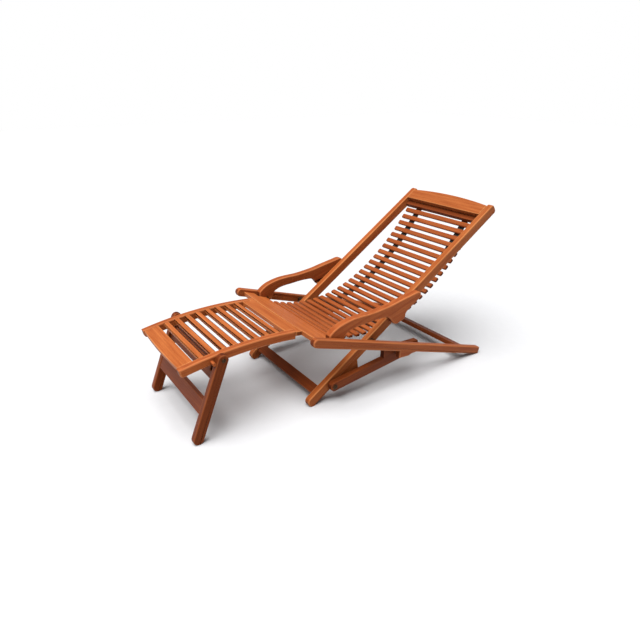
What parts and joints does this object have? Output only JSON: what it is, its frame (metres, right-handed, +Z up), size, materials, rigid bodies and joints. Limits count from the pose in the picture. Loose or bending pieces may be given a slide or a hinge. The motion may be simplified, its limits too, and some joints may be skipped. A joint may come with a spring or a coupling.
{
  "type": "steamer deck chair",
  "caption": "Folding wooden deck chair with a slatted webbing sling, curved armrests, notched back props and a lift-off footrest on folding legs.",
  "frame": {"origin": "on the floor under the middle of the chair and footrest together, on the plane of symmetry", "axes": "+X from the footrest towards the head, +Y to the right of someone lying in it, +Z up"},
  "size_m": [1.4704, 0.64, 0.6863],
  "materials": {
    "oiled_hardwood": "oiled",
    "shaded_hardwood": "oiled",
    "black_webbing": "woven polypropylene",
    "zinc_bolt": "zinc plated"
  },
  "bodies": {
    "seat_frame": {"armrest_bolt_left": "zinc_bolt", "armrest_bolt_right": "zinc_bolt", "rack_peg_left": "shaded_hardwood", "rack_peg_right": "shaded_hardwood", "scissor_bolt_left": "zinc_bolt", "scissor_bolt_right": "zinc_bolt", "seat_front_board": "oiled_hardwood", "seat_rail_left": "oiled_hardwood", "seat_rail_right": "oiled_hardwood", "seat_rear_stretcher": "shaded_hardwood", "sling_seat": "oiled_hardwood"},
    "back_frame": {"back_slat_10": "oiled_hardwood", "back_slat_11": "oiled_hardwood", "back_slat_12": "oiled_hardwood", "back_slat_13": "oiled_hardwood", "back_slat_14": "oiled_hardwood", "back_slat_15": "oiled_hardwood", "back_slat_16": "oiled_hardwood", "back_slat_17": "oiled_hardwood", "back_slat_18": "oiled_hardwood", "back_slat_19": "oiled_hardwood", "back_slat_20": "oiled_hardwood", "back_slat_21": "oiled_hardwood", "back_slat_22": "oiled_hardwood", "back_slat_23": "oiled_hardwood", "back_slat_24": "oiled_hardwood", "back_slat_25": "oiled_hardwood", "back_slat_26": "oiled_hardwood", "back_stile_left": "oiled_hardwood", "back_stile_right": "oiled_hardwood", "back_strap_left": "black_webbing", "back_strap_right": "black_webbing", "front_stretcher": "shaded_hardwood", "headboard": "oiled_hardwood", "rack_bolt_left": "zinc_bolt", "rack_bolt_right": "zinc_bolt", "sling_top_bar": "shaded_hardwood"},
    "sling_middle": {"sling_bend": "oiled_hardwood"},
    "armrest_left": {"armrest_left": "oiled_hardwood"},
    "armrest_right": {"armrest_right": "oiled_hardwood"},
    "rack_left": {"rack_bar_left": "shaded_hardwood"},
    "rack_right": {"rack_bar_right": "shaded_hardwood"},
    "footrest": {"footrest_front_board": "oiled_hardwood", "footrest_rail_left": "oiled_hardwood", "footrest_rail_right": "oiled_hardwood", "footrest_rear_board": "oiled_hardwood", "footrest_slat_1": "oiled_hardwood", "footrest_slat_2": "oiled_hardwood", "footrest_slat_3": "oiled_hardwood", "footrest_slat_4": "oiled_hardwood", "footrest_slat_5": "oiled_hardwood", "footrest_slat_6": "oiled_hardwood", "footrest_slat_7": "oiled_hardwood", "footrest_slat_8": "oiled_hardwood", "leg_bolt_left": "zinc_bolt", "leg_bolt_right": "zinc_bolt"},
    "footrest_legs": {"footrest_leg_left": "shaded_hardwood", "footrest_leg_right": "shaded_hardwood", "leg_crossboard": "shaded_hardwood", "leg_stretcher": "shaded_hardwood"}
  },
  "joints": [
    {"name": "recline", "type": "hinge", "parent": "seat_frame", "child": "back_frame", "pos_m": [0.05112, 0, 0.2115], "axis": [0, -1, 0], "range_deg": [-38, 10]},
    {"name": "sling_follow", "type": "hinge", "parent": "seat_frame", "child": "sling_middle", "pos_m": [0.05112, 0, 0.2115], "axis": [0, -1, 0], "range_deg": [-19.5, 5.5]},
    {"name": "footrest_lift", "type": "slide", "parent": "seat_frame", "child": "footrest", "axis": [0, 0, 1], "range_m": [0, 0.08]},
    {"name": "footrest_fold", "type": "hinge", "parent": "footrest", "child": "footrest_legs", "pos_m": [-0.58388, 0, 0.30363], "axis": [0, -1, 0], "range_deg": [0, 60]},
    {"name": "armrest_left_follow", "type": "hinge", "parent": "seat_frame", "child": "armrest_left", "pos_m": [-0.14296, 0, 0.27434], "axis": [0, -1, 0], "range_deg": [-15.13, 4.35]},
    {"name": "rack_left_follow", "type": "hinge", "parent": "back_frame", "child": "rack_left", "pos_m": [-0.14935, 0, 0.07628], "axis": [0, -1, 0], "range_deg": [-4.55, 15.89]},
    {"name": "armrest_right_follow", "type": "hinge", "parent": "seat_frame", "child": "armrest_right", "pos_m": [-0.14296, 0, 0.27434], "axis": [0, -1, 0], "range_deg": [-15.13, 4.35]},
    {"name": "rack_right_follow", "type": "hinge", "parent": "back_frame", "child": "rack_right", "pos_m": [-0.14935, 0, 0.07628], "axis": [0, -1, 0], "range_deg": [-4.55, 15.89]}
  ],
  "couplings": [
    {"joint": "sling_follow", "follows": "recline", "ratio": 0.5},
    {"joint": "armrest_left_follow", "follows": "recline", "ratio": 0.385},
    {"joint": "rack_left_follow", "follows": "recline", "ratio": -0.405},
    {"joint": "armrest_right_follow", "follows": "recline", "ratio": 0.385},
    {"joint": "rack_right_follow", "follows": "recline", "ratio": -0.405}
  ]
}
